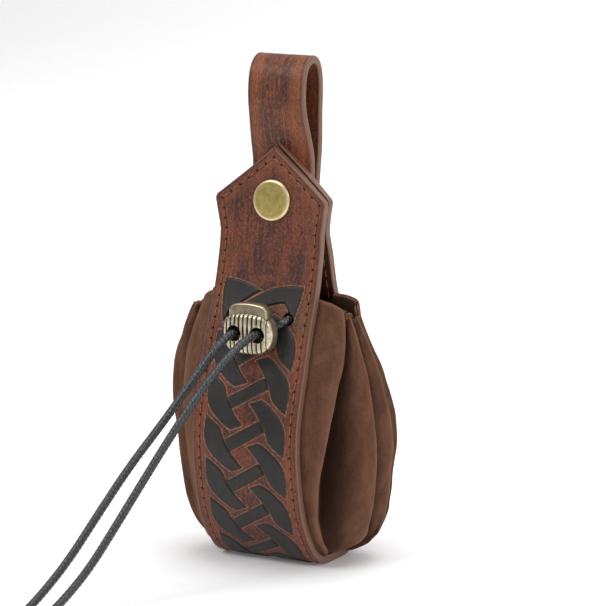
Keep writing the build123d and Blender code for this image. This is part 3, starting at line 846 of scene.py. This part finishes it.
def bore(obj, cutter_points, cutter_faces):
    """Cuts a closed shape out of a mesh piece."""
    cutter = make_object("cutter", cutter_points, cutter_faces, smooth=False)
    step = obj.modifiers.new("bore", "BOOLEAN")
    step.object, step.operation, step.solver = cutter, "DIFFERENCE", "EXACT"
    bpy.context.view_layer.update()
    graph = bpy.context.evaluated_depsgraph_get()
    cut = bpy.data.meshes.new_from_object(obj.evaluated_get(graph), depsgraph=graph)
    obj.modifiers.clear()
    old = obj.data
    obj.data = cut
    bpy.data.meshes.remove(old)
    bpy.data.objects.remove(cutter)


def rod(start, end, radius, around=32):
    """Points and faces of a straight round bar."""
    points, faces, _, _ = tube(np.linspace(start, end, 3), radius, around)
    return points, faces


# The cords' holes in the front: half their distance, their height and their radius.
CORD_HOLE_X, CORD_HOLE_Z, CORD_HOLE_R = 11.5, 91.3, 2.3
# A hollow in the front lining for the snap's socket: x, z, radius and depth of its floor.
SOCKET_PIT = (0, 132.1, 5.8, LEATHER + 0.05)

front_outer = layer_mesh(
    "front_leather", front, 0, LEATHER, 0.28, 0.55, 0.08, relief=True, plaited=True
)
dress(front_outer, "leather")
front_lining = layer_mesh("front_lining", front, LEATHER, STRIP, 0.9, 0.08, 0.5, pits=[SOCKET_PIT])
dress(front_lining, "leather_lining")
cord_holes = [
    rod((x, -30.0, CORD_HOLE_Z), (x, -5.0, CORD_HOLE_Z), CORD_HOLE_R)
    for x in (-CORD_HOLE_X, CORD_HOLE_X)
]
for piece in (front_outer, front_lining):
    bore(piece, *join_parts(cord_holes))
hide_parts("strip_outer", "flap_outer")
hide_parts("strip_lining", "flap_lining")
back_outer = layer_mesh("back_leather", back, 0, LEATHER, 0.5, 0.55, 0.08, relief=True)
dress(back_outer, "leather")
back_lining = layer_mesh("back_lining", back, LEATHER, STRIP, 0.9, 0.08, 0.5)
dress(back_lining, "leather_lining")


# ---- stitches
STITCH_RADII = [0.08, 0.18, 0.23, 0.25, 0.25, 0.25, 0.23, 0.18, 0.08]


def stitches(name, panel, depth, lift):
    """Thread between the holes of a panel's sewing line, on its face at a depth."""
    holes = stitch_holes(panel)
    parts = []
    for a, b in zip(holes, holes[1:]):
        t = np.linspace(0.13, 0.87, len(STITCH_RADII))
        flat = a + (b - a) * t[:, None]
        rise = depth + lift * (1 - 2.6 * np.abs(t - 0.5) ** 1.6 * 2)
        line = panel.at(flat[:, 0], flat[:, 1], rise)
        points, faces, _, _ = tube(line, STITCH_RADII, 8)
        parts.append((points, faces))
    return dress(make_object(name, *join_parts(parts)), "thread")


front_thread = stitches("front_stitches", front, 0.05, -0.10)
front_thread_in = stitches("front_stitches_inside", front, STRIP, 0.15)
back_thread = stitches("back_stitches", back, 0.05, -0.10)
back_thread_in = stitches("back_stitches_inside", back, STRIP, 0.15)
for piece in (front_outer, front_lining, front_thread, front_thread_in):
    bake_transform(piece)
for piece in (back_outer, back_lining, back_thread, back_thread_in):
    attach(piece, "bag")


# ---- belt loop
LOOP_HALF, STRAP = 11.8, 2.9
LOOP_MIDDLE = [
    (-1.75, 114.2), (-2.1, 124), (-1.45, 133), (-0.85, 145), (-2.3, 152.2), (-5.3, 164),
    (-5.75, 171.5), (-4.0, 179.0), (0.4, 182.4), (4.6, 180.9), (6.8, 173.5), (6.4, 163),
    (5.3, 154), (3.9, 145), (2.4, 135), (1.5, 125), (2.3, 114.2),
]


def strap_mesh(name, line, half, thick, edge):
    """A flat strap along a line in (y, z), with rounded painted edges."""
    line = at_lengths(line, np.linspace(0, lengths(line)[-1], 360))
    step = unit(np.gradient(line, axis=0))
    out = np.stack([-step[:, 1], step[:, 0]], axis=1)
    along = lengths(line)
    columns = 60
    right = rounded_edge(half, thick / 2, edge, -edge)
    right += [(x, -d) for x, d in right[::-1]]
    left = [(-x, d) for x, d in right[::-1]]
    across = np.linspace(-1, 1, columns) * (half - edge)
    loop = [(x, thick / 2) for x in across] + right + [(x, -thick / 2) for x in across[::-1]] + left
    loop = np.array(loop)
    count = len(loop)
    places, flat = [], []
    side = np.zeros(count)
    side[columns : columns + EDGE_POINTS] = side[-EDGE_POINTS:] = 1
    # Wider at its low ends, and creased along both edges.
    widen = half + 0.9 * (1 - smoothstep(148, 166, line[:, 1])) - 0.45
    for (y, z), (ny, nz), s, wide in zip(line, out, along, widen):
        taper = min(1.0, 0.35 + 0.65 * min(s, along[-1] - s) / 1.2)
        d = loop[:, 1] * taper
        bow = 0.10 * np.sin(s * 0.11) * (loop[:, 0] / half) ** 2
        crease = np.zeros(count)
        for edge_x in (-half + 2.4, half - 2.4):
            groove = 0.14 * np.exp(-(((loop[:, 0] - edge_x) / 0.4) ** 2))
            crease += groove * (loop[:, 1] > thick / 2 - 0.01)
        d = d + bow - crease
        places.append(np.stack([loop[:, 0] * wide / half, y + ny * d, z + nz * d], axis=1))
        pattern_depth = np.where(loop[:, 1] > 0, 30.0, 44.0)
        flat.append(np.stack([loop[:, 0], np.full(count, s), pattern_depth], axis=1))
    zero = np.zeros(len(line) * count)
    return make_object(
        name, np.concatenate(places), capped_faces(len(line), count, flip=True), sharp_deg=50,
        flat=np.concatenate(flat), side=np.tile(side, len(line)),
        rim=np.tile(half - np.abs(loop[:, 0]), len(line)), paint=zero, cut=zero, hole=zero,
    )


loop_line = spline(LOOP_MIDDLE, (0, 1), (0, -1), 900)
loop = strap_mesh("belt_loop_strap", loop_line, LOOP_HALF, STRAP, 0.6)
dress(loop, "leather_plain")
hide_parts("belt_loop")
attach(loop, "bag")

# ---- snap
SNAP_Z, SNAP_LEAN = 132.3, math.radians(4.0)
# The cap's rings from its skirt to its middle: radius, height, and the edge and cavity masks:
# painted highlight on the rim's bevel, and painted shadow round the skirt.
CAP_RINGS = [
    (7.0, -0.25, 0, 1), (7.5, -0.1, 0, 0.9), (7.55, 0.35, 0.3, 0.25), (7.42, 0.72, 0.8, 0),
    (7.15, 0.98, 1.0, 0), (6.8, 1.12, 0.8, 0), (6.45, 1.16, 0.15, 0), (5.6, 1.20, 0, 0),
    (4.4, 1.26, 0, 0), (3.0, 1.31, 0, 0), (1.5, 1.34, 0, 0), (0.4, 1.35, 0, 0),
]


def lathe(name, rings, around, centre, axis):
    """A turned piece: rings of (radius, height, edge, cavity) on an axis, closed at both ends."""
    axis = np.array(axis, float) / np.linalg.norm(axis)
    u = np.cross(axis, (0, 0, 1.0))
    u /= np.linalg.norm(u)
    v = np.cross(axis, u)
    angle = np.linspace(0, 2 * np.pi, around, endpoint=False)
    circle = np.cos(angle)[:, None] * u + np.sin(angle)[:, None] * v
    points = np.concatenate([np.array(centre) + axis * h + circle * r for r, h, _, _ in rings])
    edge, cavity = (np.repeat([ring[k] for ring in rings], around) for k in (2, 3))
    faces = capped_faces(len(rings), around)
    return make_object(name, points, faces, sharp_deg=60, edge=edge, cavity=cavity)


snap_place = front.at(np.array([0.0]), np.array([front.length_at(SNAP_Z)]), np.array([0.0]))[0]
cap_axis = (0, -math.cos(SNAP_LEAN), math.sin(SNAP_LEAN))
cap = lathe("snap_cap_face", CAP_RINGS, 96, snap_place, cap_axis)
dress(cap, "snap_brass")
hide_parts("snap_cap")
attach(cap, "flap")

# ---- cord lock
LOCK = np.array((1.0, -27.0, 87.0))
LOCK_HALF_X, LOCK_HALF_Z, LOCK_DEEP = 10.0, 7.25, 7.2
LOCK_ROWS, LOCK_AROUND, RIB_PITCH = 260, 120, 1.78
BORE_X, BORE_R = 4.7, 2.95
WELL_X, WELL_FRONT, WELL_BACK, WELL_FLOOR = 7.9, -2.85, 2.4, -5.9
BOX_FACES = [(3, 2, 1, 0), (4, 5, 6, 7), (0, 1, 5, 4), (1, 2, 6, 5), (2, 3, 7, 6), (3, 0, 4, 7)]


def lock_half_height(x):
    """Half height of the lock's body at x: level in the middle, rounded off at the ends."""
    share = np.clip(np.abs(x) / LOCK_HALF_X, 0, 1)
    return LOCK_HALF_Z * (1 - 0.16 * share**2) * np.sqrt(np.clip(1 - share**5.5, 0, 1))


def lock_body_mesh():
    """Points, faces and masks of the ribbed barrel: over x, loops in depth and height."""
    x_rows = LOCK_HALF_X * np.sin(np.linspace(-np.pi / 2 * 0.985, np.pi / 2 * 0.985, LOCK_ROWS))
    loops, cavity, edge = [], [], []
    angle = np.linspace(0, 2 * np.pi, LOCK_AROUND, endpoint=False)
    c, s = np.cos(angle), np.sin(angle)
    for x in x_rows:
        tall = float(lock_half_height(x)) + 0.25
        ends = math.sqrt(max(1 - abs(x / 10.3) ** 9, 0.05))
        deep = LOCK_DEEP / 2 * (1 - 0.10 * (x / LOCK_HALF_X) ** 2) * ends
        y = -deep * np.sign(c) * np.abs(c) ** 0.42
        z = tall * np.sign(s) * np.abs(s) ** 0.42
        y += 0.8 * (1 - (z / LOCK_HALF_Z) ** 2) * (c < 0) * 0.25
        in_ribs = float(smoothstep(-9.3, -8.9, x) * (1 - smoothstep(7.0, 7.3, x)))
        ribbed = smoothstep(0.25, 0.8, c) * in_ribs
        phase = (x + 0.9) / RIB_PITCH
        trough = math.exp(-(((phase - round(phase)) * RIB_PITCH / 0.28) ** 2))
        band = math.exp(-(((x - 8.1) / 0.16) ** 2))
        sunk = 0.50 * trough * ribbed + 0.3 * band * smoothstep(-0.2, 0.3, c)
        bulge = 0.55 * (1 - (x / LOCK_HALF_X) ** 2) * smoothstep(0.0, 0.8, c)
        y = y - bulge + sunk
        loops.append(np.stack([np.full(LOCK_AROUND, x), y, z], axis=1))
        # Painted shade in the troughs between the ribs and in the groove where the ribs end.
        cavity.append(np.clip(trough * ribbed * 1.5 + band * smoothstep(-0.2, 0.3, c), 0, 1))
        # Painted highlight on the ribs' crowns.
        crown = smoothstep(0.05, 0.35, c) * (1 - smoothstep(0.35, 0.8, c)) * (np.abs(s) > 0.4)
        edge.append(np.clip(crown * (1 - trough) * 0.8, 0, 1))
    faces = capped_faces(LOCK_ROWS, LOCK_AROUND)
    return np.concatenate(loops) + LOCK, faces, np.concatenate(cavity), np.concatenate(edge)


def box_points(x_span, y_span, z_span):
    """Corners of a box beside the lock's middle, in the order that BOX_FACES joins."""
    (x0, x1), (y0, y1) = x_span, y_span
    ring = ((x0, y0), (x1, y0), (x1, y1), (x0, y1))
    return LOCK + np.array([(x, y, z) for z in z_span for x, y in ring])


points, faces, cavity, edge = lock_body_mesh()
body = make_object("lock_barrel", points, faces, sharp_deg=45, cavity=cavity, edge=edge)
for x in (-BORE_X, BORE_X):
    bore(body, *rod(LOCK + (x, -8, 0), LOCK + (x, 8, 0), BORE_R, 40))
well = box_points((-WELL_X, WELL_X), (WELL_FRONT, WELL_BACK), (WELL_FLOOR, 12))
bore(body, well, BOX_FACES)
body.data.set_sharp_from_angle(angle=math.radians(40))
dress(body, "lock_metal")
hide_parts("lock_body")
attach(body, "lock")


def button_mesh():
    """The push button: a flat tongue with an arched, bevelled top."""
    half, deep, bottom = 7.7, 2.2, -3.95
    top = [(half * x, 10.9 - 1.1 * x**2 - 1.6 * abs(x) ** 9) for x in np.linspace(-1, 1, 41)]
    face = np.array([(-half, bottom)] + top + [(half, bottom)])
    middle = np.array((0, 3.0))
    # From the front to the back: depth, how far the outline is drawn in, and the edge mask of
    # painted highlight on the bevel.
    front_layers = [(-deep, 0.55, 0.1), (-deep + 0.12, 0.25, 0.75), (-deep + 0.5, 0.0, 0.2)]
    layers = front_layers + [(-y, inset, mask) for y, inset, mask in reversed(front_layers)]
    rings, edge = [], []
    for y, inset, mask in layers:
        pull = 1 - inset / np.maximum(np.linalg.norm(face - middle, axis=1), 1)
        flat = middle + (face - middle) * pull[:, None]
        rings.append(np.stack([flat[:, 0], np.full(len(flat), y), flat[:, 1]], axis=1))
        edge.append(np.full(len(flat), mask))
    return np.concatenate(rings) + LOCK, capped_faces(len(layers), len(face)), np.concatenate(edge)


points, faces, edge = button_mesh()
button = make_object(
    "lock_push_button", points, faces, sharp_deg=40, edge=edge, cavity=np.zeros(len(points))
)
for x in (-BORE_X, BORE_X):
    # Taller than the cord, which stays clear when the button goes down.
    bore(button, box_points((x - 2.4, x + 2.4), (-4, 4), (-3.0, 4.6)), BOX_FACES)
button.data.set_sharp_from_angle(angle=math.radians(40))
dress(button, "button_metal")
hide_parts("lock_button")
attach(button, "button")

KEPT_NODES = {
    "snap_socket": "snap_brass", "snap_stud": "snap_brass", "snap_eyelet": "snap_brass",
    "snap_spring": "steel", "lock_spring": "steel",
}
for node, material in KEPT_NODES.items():
    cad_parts[node].data.materials.clear()
    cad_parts[node].data.materials.append(MATERIALS[material])

# ---- suede gussets
# Rows from the mouth down, at the right and at the left: height, and bulge beyond the seam.
RINGS = {
    1: [
        (99.0, 8.8), (94, 11.0), (88, 13.6), (80, 16.3), (72, 18.1), (64, 19.1), (56, 19.6),
        (46, 19.7), (36, 18.9), (26, 16.8), (19, 13.8), (13.5, 10.4), (10, 7.8), (7.4, 5.8),
        (5.6, 4.1), (4.6, 2.6), (3.9, 1.2), (3.4, 0.05),
    ],
    -1: [
        (99.0, 9.0), (94, 11.4), (88, 14.6), (80, 18.0), (72, 19.4), (64, 19.4), (56, 18.4),
        (46, 16.8), (36, 15.6), (26, 14.2), (19, 13.6), (13.5, 13.0), (9, 11.9), (5, 9.9),
        (2.4, 7.4), (1.3, 4.8), (1.4, 2.0), (3.0, 0.05),
    ],
}
# More fullness at the back of the right gusset, low down: height and millimetres.
LOW_FULLNESS = [
    (0, 1.2), (3.4, 2.4), (6, 4.4), (9.7, 5.2), (14, 4.2), (22, 2.2), (30, 0.6), (38, 0),
]
# For each pleat, at these heights: its angle from the front seam round to the back seam, the
# depth of the fold after it, and how far its crest lies inside the oval.
LEVELS = [99, 92, 80, 70, 56, 45, 32, 20, 10, 1.5]
EVEN = [-0.1] * len(LEVELS)
RIDGES = {
    1: [
        ([56, 53, 44, 37, 31, 26, 18, 15, 22, 40],
         [1.6, 2.8, 4.0, 5.6, 8.6, 9.8, 9.4, 6.6, 2.4, 0.3], EVEN),
        ([72, 71, 71, 74, 77, 79, 82, 86, 96, 100],
         [1.6, 2.4, 3.4, 4.0, 4.6, 5.0, 5.0, 3.8, 2.4, 0.3], EVEN),
        ([92, 92, 95, 99, 103, 105, 108, 112, 124, 126],
         [0.3, 0.6, 2.2, 3.2, 3.4, 3.2, 3.0, 2.4, 1.4, 0.2], EVEN),
        ([110, 112, 116, 119, 121, 122, 124, 128, 138, 140],
         [0.2, 0.4, 1.9, 3.0, 3.4, 3.4, 3.0, 2.4, 1.4, 0.2], EVEN),
        ([130, 132, 138, 141, 144, 146, 148, 151, 155, 156],
         [0.2, 0.4, 1.8, 3.0, 3.6, 3.6, 3.2, 2.4, 1.4, 0.2], EVEN),
    ],
    -1: [
        ([58, 56, 52, 49, 47, 46, 44, 43, 46, 58],
         [2.4, 3.4, 4.6, 5.2, 5.2, 4.8, 4.2, 3.2, 1.8, 0.3],
         [2, 2.6, 3.2, 2.8, 2.4, 2.4, 2.4, 2.4, 2, 0]),
        ([80, 78, 74, 70, 68, 67, 65, 65, 72, 82],
         [1.6, 2.4, 3.2, 3.8, 4.0, 3.8, 3.2, 2.4, 1.6, 0.3],
         [0, -0.4, 0.6, -0.9, -1.9, -1.9, -1.9, -1.9, -1.2, 0]),
        ([104, 106, 110, 112, 113, 114, 115, 118, 124, 126],
         [0.2, 0.6, 2.0, 3.0, 3.4, 3.2, 2.8, 2.2, 1.4, 0.2], EVEN),
        ([126, 130, 136, 140, 142, 144, 146, 148, 152, 154],
         [0.2, 0.5, 2.0, 3.2, 3.6, 3.4, 3.0, 2.2, 1.4, 0.2], EVEN),
    ],
}
# Height of the mouth's rim at angles round it.
RIM = [
    (0, 98.4), (30, 97.4), (55, 95.2), (72, 92.6), (90, 91.0), (102, 91.6), (115, 94.0),
    (128, 96.7), (142, 98.2), (158, 98.8), (180, 99.0),
]
PER_SPAN = 9  # columns of the mesh between two control points
SMOOTH_ROWS, GUSSET_ROWS, CALM_ROWS = 150, 130, 18
SUEDE = 0.8
# The turned hem from its free edge inside up to the rim: drop and distance inwards. The
# drawstring runs in the turn, which shows as a second edge behind the rim.
HEM = [
    (8.6, 0.9), (7.2, 1.2), (5.6, 1.9), (4.2, 2.2), (2.8, 2.1), (1.6, 1.95), (0.8, 1.8),
    (0.25, 1.55), (0.2, 1.25), (0.9, 1.0), (0.5, 0.8), (0.0, 0.5), (-0.1, 0.2),
]


def fold_points(side, height, bulge, front_y, back_y):
    """Control points of one row, (angle, depth below the oval, crest, fold) in turn; crest is light
    on the pleats' crests, partly worn nap and partly painted highlight, and fold is painted shade
    in the folds.
    """
    rows = []
    for ridge in RIDGES[side]:
        angle, depth, inset = (np.interp(-height, -np.array(LEVELS, float), of) for of in ridge)
        rows.append((angle, min(depth, 0.55 * bulge), inset * min(1.0, bulge / 14)))
    points = [(0.0, 0.0, 0, 0), (0.30 * rows[0][0], 0.6 * rows[0][2] - 0.3, 0, 0)]
    before, before_depth = 0.0, 0.0
    crest = math.degrees(1.3 / max(bulge, 6.0)) * 0.8  # half width of a pleat's crest
    for k, (angle, depth, inset) in enumerate(rows):
        if k:
            # The deep first fold at the right has painted shade all the way across.
            span = angle - before
            shade = 0.65 * float(smoothstep(78, 44, height)) if k == 1 and side > 0 else 0.0
            points.append((before + 0.36 * span, 0.45 * before_depth, 0, 0.25 + shade))
            points.append((before + 0.66 * span, 0.12 * before_depth, 0, 0.3 * shade))
        else:
            points.append((0.66 * angle, inset - 0.5, 0, 0))
        depth = max(depth, inset + 0.5)
        points.append((angle - crest, inset - 0.25, 0.5, 0))
        points.append((angle, inset - 0.1, 1, 0))
        points.append((angle + 0.55 * crest, inset + 0.30 * (depth - inset), 0.5, 0.1))
        points.append((angle + 0.75 * crest, 0.75 * depth, 0, 0.7))
        before, before_depth = angle + 1.3 * crest, depth
        points.append((before, depth, 0, 1))
    span = 180 - before
    points.append((before + 0.35 * span, 0.45 * before_depth, 0, 0.25))
    points.append((before + 0.68 * span, 0.0, 0, 0))
    points.append((180.0, 0.0, 0, 0))
    table = np.array(points)
    angle = np.radians(table[:, 0])
    middle, deep = (front_y + back_y) / 2, (back_y - front_y) / 2
    seam = float(np.interp(height, *front.edge[:, ::-1].T)) - 0.25
    x = side * (seam + bulge * np.sin(angle))
    y = middle - deep * np.cos(angle)
    inward = unit(np.stack([-side * np.sin(angle) * deep, np.cos(angle) * bulge], axis=1))
    at = np.stack([x, y], axis=1) + inward * table[:, 1:2]
    # The mouth gapes at the back.
    open_out = 3.6 * smoothstep(86, 99, height) * np.exp(-(((table[:, 0] - 128) / 26) ** 2))
    at += open_out[:, None] * (side * 0.45, 0.89)
    if side > 0:
        full = np.interp(height, *np.array(LOW_FULLNESS).T)
        full = full * np.exp(-(((table[:, 0] - 122) / 34) ** 2))
        at += full[:, None] * (0.87, 0.48)
    start = np.array((side * 1.0, -0.2))
    count = (len(at) - 1) * PER_SPAN + 1
    line = spline(at, start, (-side * 1.0, 0.2), count)
    where = np.linspace(0, len(at) - 1, count)
    attributes = [np.interp(where, np.arange(len(at)), table[:, k]) for k in (0, 2, 3)]
    return line, attributes


def calmed(line):
    """A line of points with its pleats smoothed away."""
    reach = 2 * PER_SPAN
    window = np.hanning(2 * reach + 3)[1:-1]
    padded = np.pad(line, ((reach, reach), (0, 0)), mode="reflect", reflect_type="odd")
    window = window / window.sum()
    return np.stack([np.convolve(padded[:, k], window, "valid") for k in range(3)], axis=1)


def gusset_mesh(name, side):
    """One gusset: gathered rows from the turned hem at the mouth down to the strip's edge."""
    smooth = spline(RINGS[side], (-1, 0.4), (0.5 if side < 0 else -0.5, -1), SMOOTH_ROWS)
    lines, marks = [], []
    for height, bulge in smooth:
        front_y, back_y = front.inner_y(height, 2.9), back.inner_y(height, 2.9)
        line, mark = fold_points(side, height, max(bulge, 0.05), front_y, back_y)
        lines.append(line)
        marks.append(mark)
    lines, marks = np.array(lines), np.array(marks)
    angles = marks[0, 0]
    rim_height = np.interp(angles, *np.array(RIM).T)
    columns = lines.shape[1]
    index = np.arange(SMOOTH_ROWS)
    falling = 100  # the first rows, where the height only falls
    points, crest, fold = [], [], []
    for column in range(columns):
        start = np.interp(-rim_height[column], -smooth[:falling, 0], np.arange(falling))
        where = start + (SMOOTH_ROWS - 1 - start) * np.linspace(0, 1, GUSSET_ROWS)
        xy = [np.interp(where, index, lines[:, column, k]) for k in (0, 1)]
        z = np.interp(where, index, smooth[:, 0])
        if side > 0:
            z = z - smoothstep(70, 135, angles[column]) * (1 - smoothstep(4, 15, z))
        points.append(np.stack([*xy, z], axis=1))
        crest.append(np.interp(where, index, marks[:, 1, column]))
        fold.append(np.interp(where, index, marks[:, 2, column]))
    points = np.array(points).transpose(1, 0, 2)
    crest, fold = np.array(crest).T, np.array(fold).T
    # The back of the mouth curls over without pleats.
    for row in range(CALM_ROWS):
        share = (1 - row / CALM_ROWS) * smoothstep(94, 106, angles)
        points[row] += (calmed(points[row]) - points[row]) * share[:, None]
    even = calmed(points[0])
    tangent = unit(np.gradient(even[:, :2], axis=0))
    inward = np.stack([-tangent[:, 1], tangent[:, 0]], axis=1) * side
    hem = []
    for drop, offset in HEM:
        ring = points[0] + (even - points[0]) * float(smoothstep(0.1, 1.4, offset))
        ring[:, :2] += inward * offset
        ring[:, 2] -= drop
        hem.append(ring)
    turned = len(HEM)
    points = np.concatenate([np.array(hem), points])
    crest = np.concatenate([np.zeros((turned, columns)), crest])
    # Painted shade all over the turned hem inside the mouth.
    fold = np.concatenate([np.ones((turned, columns)), fold])
    # Painted shade between the hem's two edges, and light on them, partly worn nap and partly
    # painted highlight.
    fold[turned - 7 : turned + 1] = np.array([0.6, 0.1, 0.1, 0.8, 0.4, 0.1, 0, 0])[:, None]
    crest[turned - 2 : turned + 2] = np.maximum(crest[turned - 2 : turned + 2], 0.7)
    crest[turned - 6 : turned - 4] = 0.8
    flat = points.reshape(-1, 3)
    moved = flat.copy()
    # Soft wrinkles, none near the seams.
    for i, (x, y, z) in enumerate(flat):
        v = Vector((x * 0.085, y * 0.085, z * 0.045 + 11 * side))
        wrinkle = noise.noise(v) * 0.55 + noise.noise(v * 3.3) * 0.22
        away = min(1.0, max(0.0, abs(x) - 21.0) / 4)
        moved[i, 0] += side * wrinkle * away
        moved[i, 1] += wrinkle * 0.5 * away
    faces = grid_faces(GUSSET_ROWS + turned, columns, flip=side > 0)
    return make_object(name, moved, faces, closed=False, crest=crest.ravel(), fold=fold.ravel())


for side, side_name in ((1, "right"), (-1, "left")):
    gusset = gusset_mesh(f"suede_gusset_{side_name}", side)
    wall = gusset.modifiers.new("thickness", "SOLIDIFY")
    wall.thickness, wall.offset = SUEDE * MM, -1
    dress(gusset, "suede")
    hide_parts(f"gusset_{side_name}", f"mouth_casing_{side_name}")
    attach(gusset, "bag")
    gusset.data.calc_loop_triangles()
